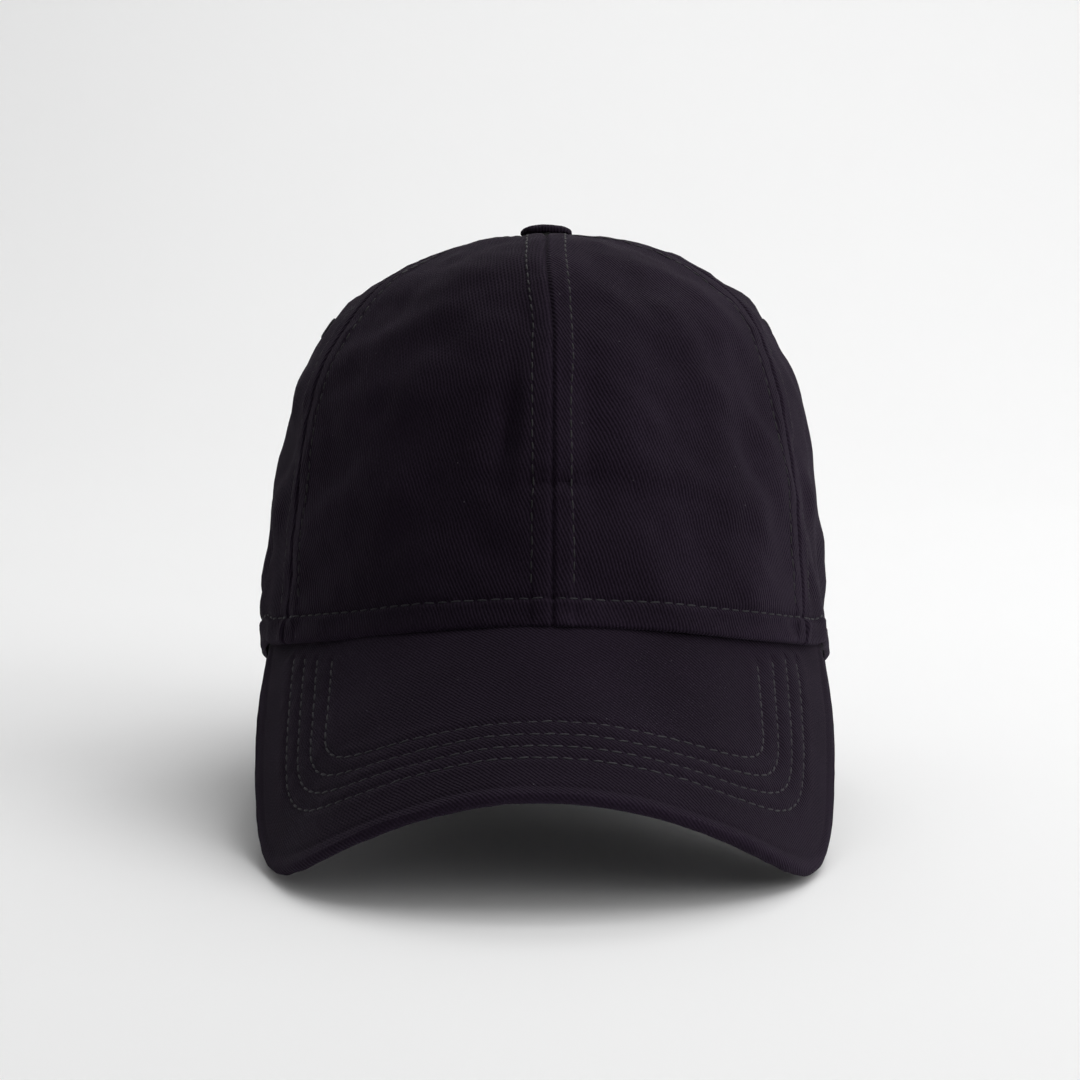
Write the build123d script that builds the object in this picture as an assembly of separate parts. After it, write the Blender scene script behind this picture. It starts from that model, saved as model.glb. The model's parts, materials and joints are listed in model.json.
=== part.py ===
from build123d import *
import os
from math import asin, cos, pi, radians, sin, sqrt

# Baseball cap with six crown panels, a curved visor and a self-fabric strap with a flip buckle.
# Crown frame: origin at the centre of the head opening, +Y to the back, +Z along the crown.
# Row frame: the cap stands on its visor corners and on the rear rim, floor at Z = 0.
# Left and right are the wearer's: left is +X.

# ---- head opening and crown ----
HALF_WIDTH = 88.9
HALF_LENGTH = 100.0
CROWN_HEIGHT = 138.0
BUTTON_AXIS_Y = -27.0
CROWN_TILT = 19.0
TOP_TILT = 0.17
FULLNESS = 2.7
CLOTH = 1.0
APEX_HOLE_R = 2.0
SIDE_ARCH = 8.0
VISOR_TUCK = 4.0
FRONT_SEAM_ANGLE = 73.4
REAR_SEAM_ANGLE = 135.0

# ---- visor ----
VISOR_DROOP = 24.7
VISOR_LENGTH = 78.0
VISOR_FLAT_HALF_WIDTH = 100.0
VISOR_WIDEST_STATION = 20.0
VISOR_SQUARENESS = 2.7
VISOR_THICK = 3.0
COVER = 0.7
BOARD_INSET = 1.4
VISOR_INNER_INSET = 3.0
VISOR_END_ANGLE = 76.0
BEND_R_SEAM = 106.0
BEND_R_FRONT = 82.0

# ---- rear opening, strap and buckle ----
OPENING_HALF_W = 42.0
OPENING_HEIGHT = 52.0
BINDING_W = 7.0
STRAP_CENTRE_Y = 18.0
STRAP_OUTER_R = 79.2
STRAP_THICK = 1.2
STRAP_LOW = 1.5
STRAP_WIDTH = 20.0
STRAP_LEFT_ARC = 43.0
STRAP_RIGHT_ARC = 46.0
GAP = 0.4
BUCKLE_START_ARC = 9.5
BUCKLE_END_ARC = 27.0
PLATE = 0.8
CHEEK = 1.0
CHEEK_HEIGHT = 6.4
PIN_ARC = 11.5
PIN_R = 0.8
PIN_RADIAL = 81.9
LEVER_TIP_ARC = 23.4
LEVER_BARREL_R = 1.7
LEVER_INNER_R = 79.6
LEVER_THICK = 1.2
BAR_ARC = 25.5
BAR_RADIAL = 81.2
BAR_R = 0.9
TAB_LOOP_R = 1.5
TAB_END_ARC = 41.0
TAB_INNER_R = 79.5
TAB_THICK = 0.8

# ---- linings and small parts ----
LINER_INSET = 1.1
TAPE_THICK = 0.6
TAPE_HALF_W = 6.0
SWEATBAND_INSET = 4.9
SWEATBAND_THICK = 1.2
SWEATBAND_HEIGHT = 32.0
SWEATBAND_END_ANGLE = 155.0
LABEL_INSET = 6.2
LABEL_THICK = 0.5
BUTTON_R = 8.2
BUTTON_HEIGHT = 3.0
EYELET_R = 4.0
EYELET_HOLE_R = 1.8

# ---- placing of the crown in the row frame ----
MID_Y = 26.72
REAR_LIFT = HALF_LENGTH * sin(radians(CROWN_TILT)) + 0.54


def stand(shape):
    """Tilt a crown-frame shape back onto the floor."""
    return Pos(0, MID_Y, REAR_LIFT) * Rot(-CROWN_TILT, 0, 0) * shape


def stand_point(x, y, z):
    """Row-frame position of a crown-frame point."""
    t = radians(CROWN_TILT)
    return Vector(x, MID_Y + y * cos(t) + z * sin(t), REAR_LIFT - y * sin(t) + z * cos(t))


def smooth(value, low, high):
    """Ease from 0 to 1 as value goes from low to high."""
    t = min(1.0, max(0.0, (value - low) / (high - low)))
    return t * t * (3 - 2 * t)


# ---- crown shell ----
def rim_height(x, y):
    """Lower edge of the crown above the head-opening plane."""
    arch = SIDE_ARCH * abs(x / HALF_WIDTH) ** 6
    if y < 0:
        return arch - VISOR_TUCK * (1 - smooth(abs(x), 78, 86))
    settle = (HALF_LENGTH - y) * sin(radians(CROWN_TILT)) / cos(radians(CROWN_TILT))
    return arch - settle * (1 - smooth(abs(x), 44, 72))


def rim_radius(angle, inset):
    """Distance from the button axis to the oval rim, measured along one meridian."""
    a = HALF_WIDTH - inset
    b = HALF_LENGTH - inset
    dx = sin(radians(angle))
    dy = -cos(radians(angle))
    qa = (dx / a) ** 2 + (dy / b) ** 2
    qb = 2 * BUTTON_AXIS_Y * dy / b**2
    qc = (BUTTON_AXIS_Y / b) ** 2 - 1
    return (-qb + sqrt(qb**2 - 4 * qa * qc)) / (2 * qa)


def meridian_point(angle, turn, inset):
    """Point of the crown at a meridian angle; turn runs from 0 at the apex to 90 at the rim."""
    out = sin(radians(turn)) ** (2 / FULLNESS)
    up = cos(radians(turn)) ** (2 / FULLNESS)
    rim = rim_radius(angle, inset)
    dx = sin(radians(angle))
    dy = -cos(radians(angle))
    foot = rim_height(rim * dx, BUTTON_AXIS_Y + rim * dy)
    r = APEX_HOLE_R + (rim - APEX_HOLE_R) * out
    z = foot + (CROWN_HEIGHT - inset - foot) * up + TOP_TILT * r * dy * up**2
    return Vector(r * dx, BUTTON_AXIS_Y + r * dy, z)


def meridian_wire(angle, inset, thick, stop=90.0):
    """Closed outline of the shell wall in one meridian plane."""
    turns = [stop * i / 8 for i in range(9)]
    outer = Spline(*[meridian_point(angle, t, inset) for t in turns])
    inner = Spline(*[meridian_point(angle, t, inset + thick) for t in turns])
    top = Line(outer @ 0, inner @ 0)
    low = Line(outer @ 1, inner @ 1)
    return Wire([outer, low, inner, top])


def shell_strip(start, end, count, inset, thick):
    """Crown wall between two meridians."""
    step = (end - start) / count
    wires = [meridian_wire(start + step * i, inset, thick) for i in range(count + 1)]
    return Solid.make_loft(wires)


def opening_cutter(grow):
    """Half-moon prism through the rear wall."""
    outline = Plane.XZ * Ellipse(OPENING_HALF_W + grow, OPENING_HEIGHT + grow)
    return Pos(0, HALF_LENGTH + 40, 0) * extrude(outline, 100)


def mirrored(shape):
    return mirror(shape, Plane.YZ)


def seam_tape(angle, low_z, high_z):
    """Flat tape behind one seam, from the button down to low_z."""
    span = 34.0
    strip = shell_strip(angle - span, angle + span, 6, LINER_INSET, TAPE_THICK)
    reach = 150.0
    slab = Pos(0, -reach / 2 - 4, (low_z + high_z) / 2) * Box(2 * TAPE_HALF_W, reach, high_z - low_z)
    slab = Pos(0, BUTTON_AXIS_Y, 0) * Rot(0, 0, angle) * slab
    return strip & slab


# ---- sweatband and label ----
def band_wire(angle, inset, thick, low, high):
    """Upright strip section above the rim in one meridian plane."""
    dx = sin(radians(angle))
    dy = -cos(radians(angle))
    r1 = rim_radius(angle, inset)
    r2 = rim_radius(angle, inset + thick)
    outer_foot = Vector(r1 * dx, BUTTON_AXIS_Y + r1 * dy, 0)
    inner_foot = Vector(r2 * dx, BUTTON_AXIS_Y + r2 * dy, 0)
    base = SIDE_ARCH * abs(outer_foot.X / HALF_WIDTH) ** 6
    lo = Vector(0, 0, base + low)
    hi = Vector(0, 0, base + high)
    corners = [outer_foot + lo, outer_foot + hi, inner_foot + hi, inner_foot + lo]
    return Wire.make_polygon(corners, close=True)


def band(start, end, count, inset, thick, low, high):
    step = (end - start) / count
    wires = [band_wire(start + step * i, inset, thick, low, high) for i in range(count + 1)]
    return Solid.make_loft(wires)


# ---- visor ----
def bend_radius(station):
    """Bend of the visor across its width, tighter toward the front edge."""
    return BEND_R_SEAM + (BEND_R_FRONT - BEND_R_SEAM) * smooth(station, -30, 75)


def visor_point(p, station, depth):
    """Bent position of a flat-pattern point, depth below the top face."""
    r = bend_radius(station)
    a = p / r
    droop = radians(VISOR_DROOP)
    join = stand_point(0, -HALF_LENGTH, 0)
    ahead = Vector(0, -cos(droop), -sin(droop))
    normal = Vector(0, -sin(droop), cos(droop))
    drop = r - (r - depth) * cos(a)
    return join + ahead * station + Vector((r - depth) * sin(a), 0, 0) - normal * drop


def visor_seam_flat(share, inset):
    """Flat-pattern point of the inner edge; share runs from -1 to 1 across the front."""
    angle = radians(VISOR_END_ANGLE * share)
    x = (HALF_WIDTH - inset) * sin(angle)
    point = stand_point(x, -(HALF_LENGTH - inset) * cos(angle), SIDE_ARCH * abs(x / HALF_WIDTH) ** 6)
    droop = radians(VISOR_DROOP)
    offset = point - stand_point(0, -HALF_LENGTH, 0)
    station = offset.dot(Vector(0, -cos(droop), -sin(droop)))
    r = bend_radius(station)
    return r * asin(x / r), station


def visor_edge_flat(share, inset):
    """Flat-pattern point of the outer edge; share runs from -1 to 1 across the front."""
    side = 1 if share >= 0 else -1
    t = abs(share)
    corner_share = 0.8
    reach = VISOR_LENGTH - VISOR_WIDEST_STATION - inset
    half = VISOR_FLAT_HALF_WIDTH - inset
    if t <= corner_share:
        turn = radians(90 * t / corner_share)
        p = half * sin(turn) ** (2 / VISOR_SQUARENESS)
        return side * p, VISOR_WIDEST_STATION + reach * cos(turn) ** (2 / VISOR_SQUARENESS)
    back = (t - corner_share) / (1 - corner_share)
    tail = 66.0 - inset
    return side * (half - 1.0 * back), VISOR_WIDEST_STATION - tail * back


def visor_wire(share, inner_inset, edge_inset, depth, thick):
    """Closed section of a visor layer from the seam to the outer edge."""
    p0, s0 = visor_seam_flat(share, inner_inset)
    p1, s1 = visor_edge_flat(share, edge_inset)
    steps = [0, 0.2, 0.4, 0.6, 0.8, 1]
    flat = [(p0 + (p1 - p0) * v, s0 + (s1 - s0) * v) for v in steps]
    top = Spline(*[visor_point(p, s, depth) for p, s in flat])
    low = Spline(*[visor_point(p, s, depth + thick) for p, s in flat])
    return Wire([top, Line(top @ 1, low @ 1), low, Line(low @ 0, top @ 0)])


def visor_tip_wire(share, inner_inset, edge_inset, depth, thick):
    """Flat end section where a visor layer meets the side of the crown."""
    p0, s0 = visor_seam_flat(share, inner_inset)
    p1, s1 = visor_edge_flat(share, edge_inset)
    start = visor_point(p0, s0, depth)
    end = visor_point(p1, s1, depth)
    through = visor_point(p0, s0, depth + thick) - start
    return Wire.make_polygon([start, end, end + through, start + through], close=True)


def visor_layer(inner_inset, edge_inset, depth, thick, reach=1.0):
    """One layer of the visor, lofted from tip to tip."""
    count = 28
    shares = [reach * (2 * i / count - 1) for i in range(1, count)]
    middle = [visor_wire(t, inner_inset, edge_inset, depth, thick) for t in shares]
    first = visor_tip_wire(-reach, inner_inset, edge_inset, depth, thick)
    last = visor_tip_wire(reach, inner_inset, edge_inset, depth, thick)
    return Solid.make_loft([first] + middle + [last])


def cover_wire(share, inner_inset, thick, lip_depth, lip):
    """Section of the top cover with its turned-down lip along the outer edge."""
    p0, s0 = visor_seam_flat(share, inner_inset)
    p1, s1 = visor_edge_flat(share, 0)
    reach = 1 - lip / sqrt((p1 - p0) ** 2 + (s1 - s0) ** 2)
    steps = [0, 0.2, 0.4, 0.6, 0.8, 1]
    flat = [(p0 + (p1 - p0) * v, s0 + (s1 - s0) * v) for v in steps]
    short = [(p0 + (p1 - p0) * v * reach, s0 + (s1 - s0) * v * reach) for v in steps]
    top = Spline(*[visor_point(p, s, 0) for p, s in flat])
    low = Spline(*[visor_point(p, s, thick) for p, s in short])
    lip_out = visor_point(p1, s1, lip_depth)
    lip_in = visor_point(short[-1][0], short[-1][1], lip_depth)
    fold = [Line(top @ 1, lip_out), Line(lip_out, lip_in), Line(lip_in, low @ 1)]
    return Wire([top] + fold + [low, Line(low @ 0, top @ 0)])


def cover_tip_wire(share, inner_inset, thick, lip_depth, lip):
    """Flat end section of the top cover where it meets the side of the crown."""
    p0, s0 = visor_seam_flat(share, inner_inset)
    p1, s1 = visor_edge_flat(share, 0)
    start = visor_point(p0, s0, 0)
    end = visor_point(p1, s1, 0)
    through = (visor_point(p0, s0, 1) - start).normalized()
    back = (start - end).normalized() * lip
    corners = [start, end, end + through * lip_depth, end + back + through * lip_depth]
    corners += [end + back + through * thick, start + through * thick]
    return Wire.make_polygon(corners, close=True)


def visor_cover(inner_inset, thick, lip_depth, lip):
    """Top cover of the visor, folded down round the outer edge."""
    count = 28
    middle = [cover_wire(2 * i / count - 1, inner_inset, thick, lip_depth, lip) for i in range(1, count)]
    first = cover_tip_wire(-1, inner_inset, thick, lip_depth, lip)
    last = cover_tip_wire(1, inner_inset, thick, lip_depth, lip)
    return Solid.make_loft([first] + middle + [last])


# ---- strap and buckle, all bodies of revolution about the strap axis ----
def arc_block(r_low, r_high, z_low, z_high, start, end):
    """Curved block on the strap's arc; angles grow from the middle toward the wearer's right."""
    outline = Rectangle(r_high - r_low, z_high - z_low)
    profile = Plane.XZ * Pos((r_low + r_high) / 2, (z_low + z_high) / 2) * outline
    block = revolve(profile, Axis.Z, end - start)
    return Pos(0, STRAP_CENTRE_Y, 0) * Rot(0, 0, 90 + start) * block


def arc_post(arc, radial, radius, z_low, z_high):
    """Round bar parallel to the strap axis."""
    x = -radial * sin(radians(arc))
    y = STRAP_CENTRE_Y + radial * cos(radians(arc))
    return Pos(x, y, (z_low + z_high) / 2) * Cylinder(radius, z_high - z_low)


STRAP_TOP = STRAP_LOW + STRAP_WIDTH
CHEEK_LOW = STRAP_LOW - GAP - CHEEK
CHEEK_HIGH = STRAP_TOP + GAP + CHEEK
STRAP_INNER_R = STRAP_OUTER_R - STRAP_THICK
PLATE_OUTER_R = STRAP_INNER_R - GAP + 0.1


def make_strap():
    body = arc_block(STRAP_INNER_R, STRAP_OUTER_R, STRAP_LOW, STRAP_TOP, -STRAP_LEFT_ARC, STRAP_RIGHT_ARC)
    return body


def make_buckle_frame():
    inner = PLATE_OUTER_R - PLATE
    plate = arc_block(inner, PLATE_OUTER_R, CHEEK_LOW, CHEEK_HIGH, BUCKLE_START_ARC, BUCKLE_END_ARC)
    rise = inner + CHEEK_HEIGHT
    low = arc_block(inner, rise, CHEEK_LOW, CHEEK_LOW + CHEEK, BUCKLE_START_ARC, BUCKLE_END_ARC)
    high = arc_block(inner, rise, CHEEK_HIGH - CHEEK, CHEEK_HIGH, BUCKLE_START_ARC, BUCKLE_END_ARC)
    bar = arc_post(BAR_ARC, BAR_RADIAL, BAR_R, CHEEK_LOW + CHEEK / 2, CHEEK_HIGH - CHEEK / 2)
    hole = arc_post(PIN_ARC, PIN_RADIAL, PIN_R, CHEEK_LOW - 1, CHEEK_HIGH + 1)
    return plate + low + high + bar - hole


def make_buckle_pin():
    return arc_post(PIN_ARC, PIN_RADIAL, PIN_R, CHEEK_LOW, CHEEK_HIGH)


def make_buckle_lever():
    low = STRAP_LOW
    high = STRAP_TOP
    outer = LEVER_INNER_R + LEVER_THICK
    lip_start = LEVER_TIP_ARC - 1.2
    running_clearance = 0.05
    plate = arc_block(LEVER_INNER_R, outer, low, high, PIN_ARC, LEVER_TIP_ARC)
    lip = arc_block(outer - 0.1, outer + 0.9, low, high, lip_start, LEVER_TIP_ARC)
    barrel = arc_post(PIN_ARC, PIN_RADIAL, LEVER_BARREL_R, low, high)
    bore = arc_post(PIN_ARC, PIN_RADIAL, PIN_R + running_clearance, low - 1, high + 1)
    return plate + lip + barrel - bore


def make_buckle_tab():
    low = STRAP_LOW + 0.5
    high = STRAP_TOP - 0.5
    tail = arc_block(TAB_INNER_R, TAB_INNER_R + TAB_THICK, low, high, BAR_ARC, TAB_END_ARC)
    loop = arc_post(BAR_ARC, BAR_RADIAL, TAB_LOOP_R, low, high)
    bore = arc_post(BAR_ARC, BAR_RADIAL, BAR_R + 0.05, low - 1, high + 1)
    return tail + loop - bore


# ---- button and eyelets ----
APEX_PLANE = Plane(
    origin=(0, BUTTON_AXIS_Y, CROWN_HEIGHT),
    x_dir=(1, 0, 0),
    z_dir=(0, -TOP_TILT, 1),
)


def dome(radius, height, base):
    """Button profile spun about its own axis."""
    edge = 0.9
    with BuildSketch(Plane.XZ) as profile:
        with BuildLine():
            Line((0, base), (radius, base))
            Line((radius, base), (radius, base + edge))
            Spline((radius, base + edge), (radius * 0.7, base + height * 0.82), (0, base + height),
                   tangents=[(-0.1, 1), (-1, 0)])
            Line((0, base + height), (0, base))
        make_face()
    return revolve(profile.sketch, Axis.Z)


def make_button():
    seat = 0.9
    shell_gap = 0.7
    outer = dome(BUTTON_R, BUTTON_HEIGHT, seat)
    core = dome(BUTTON_R - shell_gap, BUTTON_HEIGHT - shell_gap, seat)
    hollow = dome(BUTTON_R - 1.2, BUTTON_HEIGHT - 1.2, seat)
    cover = outer - core
    shell = core - hollow
    stem_r = 1.5
    stem_low = -3.2
    stem_top = seat + BUTTON_HEIGHT - 1.4
    stem = Pos(0, 0, (stem_top + stem_low) / 2) * Cylinder(stem_r, stem_top - stem_low)
    flange = Pos(0, 0, stem_low) * Cylinder(5.0, 0.8)
    pin = stem + flange
    return APEX_PLANE * cover, APEX_PLANE * shell, APEX_PLANE * pin


def eyelet_plane(angle, turn):
    """Plane on the crown surface with its normal pointing out."""
    here = meridian_point(angle, turn, 0)
    up = meridian_point(angle, turn - 1, 0) - here
    across = meridian_point(angle + 1, turn, 0) - here
    return Plane(origin=here, x_dir=across, z_dir=up.cross(across) * -1)


def eyelet(angle, turn):
    """Worked ring of thread through one panel, and the cutter for its seat."""
    seat = eyelet_plane(angle, turn)
    ring = Pos(0, 0, -0.5) * Cylinder(EYELET_R, 2.0) - Pos(0, 0, -0.5) * Cylinder(EYELET_HOLE_R, 4.0)
    ring = fillet(ring.edges().filter_by(GeomType.CIRCLE), 0.5)
    cutter = Pos(0, 0, -0.5) * Cylinder(EYELET_R, 8.0)
    return seat * ring, seat * cutter


# ---- assembly ----
def make_panels():
    envelope = visor_layer(12.0, -12.0, 0.0, 12.0)
    cut = opening_cutter(0)
    ring_side, cut_side = eyelet(104, 44)
    ring_back, cut_back = eyelet(156, 40)
    front = shell_strip(0, FRONT_SEAM_ANGLE, 5, 0, CLOTH)
    side = shell_strip(FRONT_SEAM_ANGLE, REAR_SEAM_ANGLE, 4, 0, CLOTH) - cut_side
    back = shell_strip(REAR_SEAM_ANGLE, 180, 4, 0, CLOTH) - cut - cut_back
    nodes = {}
    for name, shape in (("front_panel", front), ("side_panel", side), ("back_panel", back)):
        left = stand(shape)
        right = stand(mirrored(shape))
        if name != "back_panel":
            left = left - envelope
            right = right - envelope
        nodes[name + "_left"] = left
        nodes[name + "_right"] = right
    nodes["eyelet_side_left"] = stand(ring_side)
    nodes["eyelet_side_right"] = stand(mirrored(ring_side))
    nodes["eyelet_back_left"] = stand(ring_back)
    nodes["eyelet_back_right"] = stand(mirrored(ring_back))
    return nodes


def make_tapes():
    high = CROWN_HEIGHT + 10
    above_rim = 16.0
    above_opening = OPENING_HEIGHT + BINDING_W + 1
    front_side = seam_tape(FRONT_SEAM_ANGLE, above_rim, high)
    rear_side = seam_tape(REAR_SEAM_ANGLE, above_rim, high)
    trim = Pos(0, BUTTON_AXIS_Y, CROWN_HEIGHT) * Cylinder(16.5, 60)
    nodes = {
        "seam_tape_front": stand(seam_tape(0, above_rim, high) - trim),
        "seam_tape_front_left": stand(front_side - trim),
        "seam_tape_front_right": stand(mirrored(front_side - trim)),
        "seam_tape_back_left": stand(rear_side - trim),
        "seam_tape_back_right": stand(mirrored(rear_side - trim)),
        "seam_tape_back": stand(seam_tape(180, above_opening, high) - trim),
    }
    return nodes


def make_linings():
    liner = shell_strip(136, 224, 8, LINER_INSET, TAPE_THICK)
    above_strap = Pos(0, 100, STRAP_TOP + 2 + 50) * Box(140, 140, 100)
    binding = (liner & opening_cutter(BINDING_W) & above_strap) - opening_cutter(0)
    half_band = None
    for start, end in ((0, 52), (52, 104), (104, SWEATBAND_END_ANGLE)):
        piece = band(start, end, 5, SWEATBAND_INSET, SWEATBAND_THICK, 1.0, SWEATBAND_HEIGHT)
        half_band = piece if half_band is None else half_band + piece
    sweat = half_band + mirrored(half_band)
    label = band(120, 134, 3, LABEL_INSET, LABEL_THICK, 5.0, 27.0)
    return {"opening_binding": stand(binding), "sweatband": stand(sweat), "care_label": stand(label)}


def make_visor():
    under_depth = VISOR_THICK - COVER
    fit = 0.15
    lip = BOARD_INSET - 0.2
    top = visor_cover(VISOR_INNER_INSET, COVER - fit, under_depth - fit, lip)
    under = visor_layer(VISOR_INNER_INSET, 0, under_depth, COVER)
    board = visor_layer(VISOR_INNER_INSET - 1.0, BOARD_INSET, COVER, under_depth - COVER - fit, 0.96)
    return {"visor_board": board, "visor_top_cover": top, "visor_under_cover": under}


def make_closure():
    return {
        "strap": stand(make_strap()),
        "buckle_tab": stand(make_buckle_tab()),
        "buckle_frame": stand(make_buckle_frame()),
        "buckle_lever": stand(make_buckle_lever()),
        "buckle_pin": stand(make_buckle_pin()),
    }


def make_button_nodes():
    cover, shell, pin = make_button()
    return {"button_cover": stand(cover), "button_shell": stand(shell), "button_rivet": stand(pin)}


def main():
    os.makedirs("parts", exist_ok=True)
    nodes = {}
    for group in (make_panels, make_tapes, make_linings, make_visor, make_closure, make_button_nodes):
        nodes.update(group())
    for name, shape in nodes.items():
        export_step(shape, "parts/" + name + ".step")


main()
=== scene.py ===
import json
import math

import bpy
import numpy as np
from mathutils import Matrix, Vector
from mathutils.bvhtree import BVHTree


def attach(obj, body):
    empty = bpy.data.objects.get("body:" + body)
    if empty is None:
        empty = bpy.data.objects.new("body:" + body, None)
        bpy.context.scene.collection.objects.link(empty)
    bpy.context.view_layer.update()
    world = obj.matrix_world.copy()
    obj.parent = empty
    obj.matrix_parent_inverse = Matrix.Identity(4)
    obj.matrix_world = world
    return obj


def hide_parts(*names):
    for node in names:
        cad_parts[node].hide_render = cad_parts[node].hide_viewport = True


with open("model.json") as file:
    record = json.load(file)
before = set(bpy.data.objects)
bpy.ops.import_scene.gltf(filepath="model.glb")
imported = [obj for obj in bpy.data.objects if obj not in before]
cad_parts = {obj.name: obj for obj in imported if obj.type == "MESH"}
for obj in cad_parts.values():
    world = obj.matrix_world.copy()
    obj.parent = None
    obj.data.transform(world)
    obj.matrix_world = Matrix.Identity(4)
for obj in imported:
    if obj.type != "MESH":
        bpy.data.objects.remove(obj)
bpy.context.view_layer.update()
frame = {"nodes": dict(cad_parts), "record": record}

# ------------------------------ frame of the crown
# The head opening's mount gives the crown's own frame: X to the wearer's left, Y to the back, Z up the crown.
# Lengths in the geometry code are millimetres, and new_object() turns them into metres.
MOUNT = next(m for m in frame["record"]["mounts"] if m["name"] == "head_opening")
ORIGIN = np.array(MOUNT["pos_m"], float) * 1000
EZ = -np.array(MOUNT["axis"], float)
EX = np.array([1.0, 0.0, 0.0])
EY = np.cross(EZ, EX)
STRAP_JOINT = next(j for j in frame["record"]["behaviour"]["joints"] if j["name"] == "strap_adjust")
STRAP_CENTRE = np.array(STRAP_JOINT["pos_m"], float) * 1000

HALF_WIDTH = 88.9
HALF_LENGTH = 100.0
CROWN_HEIGHT = 138.0
BUTTON_AXIS_Y = -27.0
TOP_TILT = 0.17
FULLNESS = 2.7
APEX_HOLE_R = 2.0
SIDE_ARCH = 8.0
FRONT_SEAM = 73.4
REAR_SEAM = 135.0
OPENING_HALF_W = 42.0
OPENING_HEIGHT = 52.0
VISOR_DROOP = math.radians(24.7)
VISOR_LENGTH = 78.0
VISOR_FLAT_HALF_WIDTH = 100.0
VISOR_WIDEST = 20.0
VISOR_SQUARENESS = 2.7
VISOR_THICK = 3.0
BEND_R_SEAM = 106.0
BEND_R_FRONT = 82.0
VISOR_END_ANGLE = 76.0
SEAM_LEAN = 2.3
SEAM_STITCH = 6.0
HEM_STITCH = 8.2
EYELET_HOLE_R = 1.9
TILT = math.atan2(EZ[1], EZ[2])


def smooth(value, low, high):
    """Smooth step from 0 at low to 1 at high."""
    t = np.clip((np.asarray(value, float) - low) / (high - low), 0.0, 1.0)
    return t * t * (3 - 2 * t)


def bell(x, centre, width):
    """Bell curve of height 1."""
    return np.exp(-(((x - centre) / width) ** 2))


def unit(v):
    return v / np.linalg.norm(v, axis=-1, keepdims=True)


def heading(psi):
    """Direction of a meridian in the crown's plan, 0 degrees at the front."""
    return np.sin(np.radians(psi)), -np.cos(np.radians(psi))


def run_lengths(line):
    """Distance from a line's first point to each of its points."""
    return np.concatenate([[0], np.cumsum(np.linalg.norm(np.diff(line, axis=0), axis=1))])


def sample(s, run, values):
    """Three-column values at distances s along a line."""
    return np.stack([np.interp(s, run, values[:, k]) for k in range(3)], -1)


def stand(p):
    """Crown-frame points to row-frame millimetres."""
    p = np.asarray(p, float)
    return ORIGIN + p[..., :1] * EX + p[..., 1:2] * EY + p[..., 2:3] * EZ


def unstand(q):
    """Row-frame millimetres to crown-frame points."""
    d = np.asarray(q, float) - ORIGIN
    return np.stack([d @ EX, d @ EY, d @ EZ], -1)


# ------------------------------ smooth seeded noise
def make_waves(seed, wavelength, count=22, stretch=(1, 1, 1)):
    rng = np.random.default_rng(seed)
    d = rng.normal(size=(count, 3))
    d /= np.linalg.norm(d, axis=1, keepdims=True)
    k = d * (2 * np.pi / (wavelength * rng.uniform(0.75, 1.4, (count, 1))))
    return k / np.array(stretch, float), rng.uniform(0, 2 * np.pi, count)


def ripple(p, waves):
    """Smooth noise of about unit size at points p, in millimetres."""
    k, phase = waves
    return np.sin(p @ k.T + phase).sum(-1) * (1.4 / math.sqrt(len(phase)))


# ------------------------------ crown surface
def rim_height(x, y):
    arch = SIDE_ARCH * np.abs(x / HALF_WIDTH) ** 6
    settle = (HALF_LENGTH - y) * math.tan(TILT) * (1 - smooth(np.abs(x), 44, 72))
    return np.where(y < 0, arch, arch - settle)


def rim_radius(psi, inset):
    a, b = HALF_WIDTH - inset, HALF_LENGTH - inset
    dx, dy = heading(psi)
    qa = (dx / a) ** 2 + (dy / b) ** 2
    qb = 2 * BUTTON_AXIS_Y * dy / b**2
    qc = (BUTTON_AXIS_Y / b) ** 2 - 1
    return (-qb + np.sqrt(qb**2 - 4 * qa * qc)) / (2 * qa)


def crown_point(psi, turn, inset=0.0):
    """Crown-frame point at a meridian angle; turn is 0 at the button and 90 at the rim."""
    out = np.sin(np.radians(turn)) ** (2 / FULLNESS)
    up = np.maximum(np.cos(np.radians(turn)), 0) ** (2 / FULLNESS)
    rim = rim_radius(psi, inset)
    dx, dy = heading(psi)
    foot = rim_height(rim * dx, BUTTON_AXIS_Y + rim * dy)
    r = APEX_HOLE_R + (rim - APEX_HOLE_R) * out
    z = foot + (CROWN_HEIGHT - inset - foot) * up + TOP_TILT * r * dy * up**2
    return np.stack([r * dx, BUTTON_AXIS_Y + r * dy, z], -1)


def lean(q):
    """The front seam sits a little toward the wearer's left."""
    amount = SEAM_LEAN * bell(q[..., 0], 0, 44) * (1 - smooth(q[..., 2], 146, 172))
    return q + (amount * smooth(60 - q[..., 1], 0, 70))[..., None] * EX


# ------------------------------ visor surface
JOIN = stand([0, -HALF_LENGTH, 0])
AHEAD = np.array([0, -math.cos(VISOR_DROOP), -math.sin(VISOR_DROOP)])
LIFT = np.array([0, -math.sin(VISOR_DROOP), math.cos(VISOR_DROOP)])


def bend_radius(station):
    return BEND_R_SEAM + (BEND_R_FRONT - BEND_R_SEAM) * smooth(station, -30, 75)


def visor_point(p, station, depth=0.0):
    """Row-frame place of a flat-pattern point, depth below the top face."""
    r = bend_radius(station)
    a = p / r
    x = (r - depth) * np.sin(a)
    drop = r - (r - depth) * np.cos(a)
    return JOIN + station[..., None] * AHEAD + x[..., None] * EX - drop[..., None] * LIFT


def visor_top_z(x, y):
    """Height of the visor's top face over a row-frame point, in plan."""
    s = np.zeros_like(x)
    for _ in range(12):
        r = bend_radius(s)
        drop = r - np.sqrt(np.maximum(r**2 - x**2, 0))
        s = (JOIN[1] - y + drop * math.sin(VISOR_DROOP)) / math.cos(VISOR_DROOP)
    return JOIN[2] - s * math.sin(VISOR_DROOP) - drop * math.cos(VISOR_DROOP)


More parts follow.
